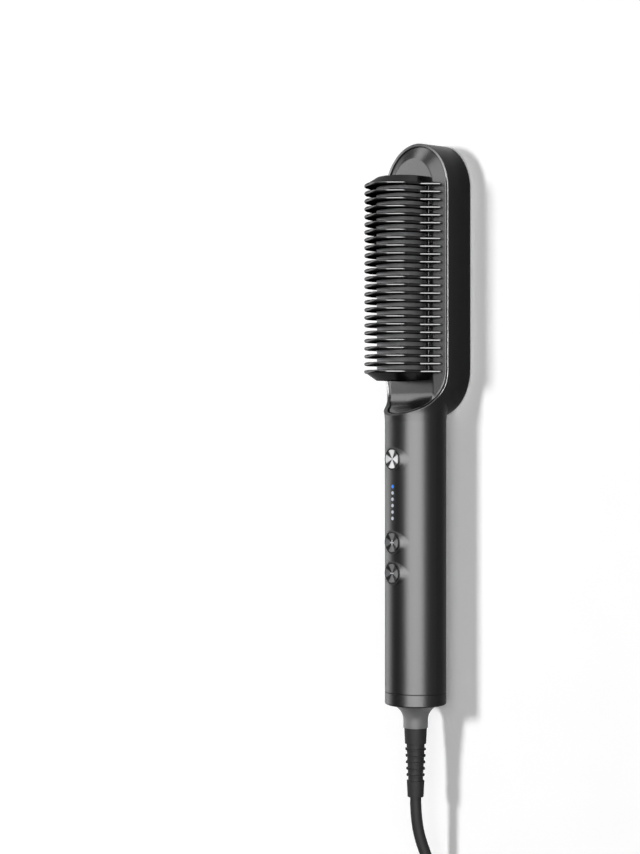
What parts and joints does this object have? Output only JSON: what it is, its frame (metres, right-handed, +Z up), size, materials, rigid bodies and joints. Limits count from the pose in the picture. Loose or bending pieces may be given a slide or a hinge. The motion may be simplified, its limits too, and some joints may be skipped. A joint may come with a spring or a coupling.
{
  "type": "heated straightening comb",
  "caption": "Heated hair-straightening comb: a round handle with buttons and lights, a head with guard ribs over a metal comb, and a mains cord on a swivel.",
  "frame": {"origin": "centre of the object's box, without the cord, on the surface that its back lies on", "axes": "+Y to the head's tip, +Z up to the comb side, +X across"},
  "size_m": [0.056, 0.6438, 0.0462],
  "materials": {
    "housing_black": "satin gloss",
    "panel_grey": "satin",
    "cage_black": "gloss",
    "comb_metal": "coated",
    "accent_pink": "pearl gloss",
    "plate_dark": "fine texture",
    "button_silver": "spun",
    "button_dark": "spun, dark",
    "bezel_black": "gloss",
    "mark_light": "matte",
    "light_blue": "clear",
    "light_clear": "clear",
    "steel": "brushed",
    "heater_ceramic": "matte",
    "insulation": "matte",
    "fuse_body": "matte",
    "lead_brown": "matte",
    "lead_blue": "matte",
    "board_green": "solder mask",
    "switch_black": "matte",
    "inner_white": "matte",
    "brass": "bare",
    "neck_grey": "satin",
    "cord_black": "matte",
    "pin_metal": "bright"
  },
  "bodies": {
    "body": {"main_housing": "housing_black", "front_panel": "panel_grey", "panel_screws": "steel", "accent_ring": "accent_pink", "back_plate": "plate_dark", "comb_cage": "cage_black", "heating_comb": "comb_metal", "ceramic_heater": "heater_ceramic", "insulation_sheet": "insulation", "heater_clamp": "steel", "clamp_screws": "steel", "thermal_fuse": "fuse_body", "temperature_sensor": "fuse_body", "heater_lead_live": "lead_brown", "heater_lead_neutral": "lead_blue", "control_board": "board_green", "board_screws": "steel", "indicator_leds": "light_clear", "lit_indicator": "light_blue", "indicator_bar": "light_clear", "mains_lead_live": "lead_brown", "mains_lead_neutral": "lead_blue", "brush_holder": "inner_white", "contact_brushes": "brass", "end_cap": "housing_black", "power_cord": "cord_black", "cord_hank": "cord_black", "cord_tail": "cord_black", "cord_tie": "cord_black", "plug_body": "cord_black", "plug_pins": "pin_metal", "power_bezel": "bezel_black", "plus_bezel": "bezel_black", "minus_bezel": "bezel_black", "power_switch": "switch_black", "plus_switch": "switch_black", "minus_switch": "switch_black"},
    "power_key": {"power_button": "button_silver", "power_plunger": "inner_white"},
    "plus_key": {"plus_button": "button_dark", "plus_mark": "mark_light", "plus_plunger": "inner_white"},
    "minus_key": {"minus_button": "button_dark", "minus_mark": "mark_light", "minus_plunger": "inner_white"},
    "swivel": {"swivel_neck": "neck_grey", "swivel_clip": "steel", "collector_rings": "brass", "strain_relief": "cord_black"}
  },
  "joints": [
    {"name": "power_press", "type": "slide", "parent": "body", "child": "power_key", "axis": [0, 0, -1], "range_m": [0, 0.0007], "stiffness_N_per_m": 1500},
    {"name": "plus_press", "type": "slide", "parent": "body", "child": "plus_key", "axis": [0, 0, -1], "range_m": [0, 0.0007], "stiffness_N_per_m": 1500},
    {"name": "minus_press", "type": "slide", "parent": "body", "child": "minus_key", "axis": [0, 0, -1], "range_m": [0, 0.0007], "stiffness_N_per_m": 1500},
    {"name": "cord_swivel", "type": "hinge", "parent": "body", "child": "swivel", "pos_m": [0, -0.11515, 0.01625], "axis": [0, -1, 0], "continuous": true}
  ]
}
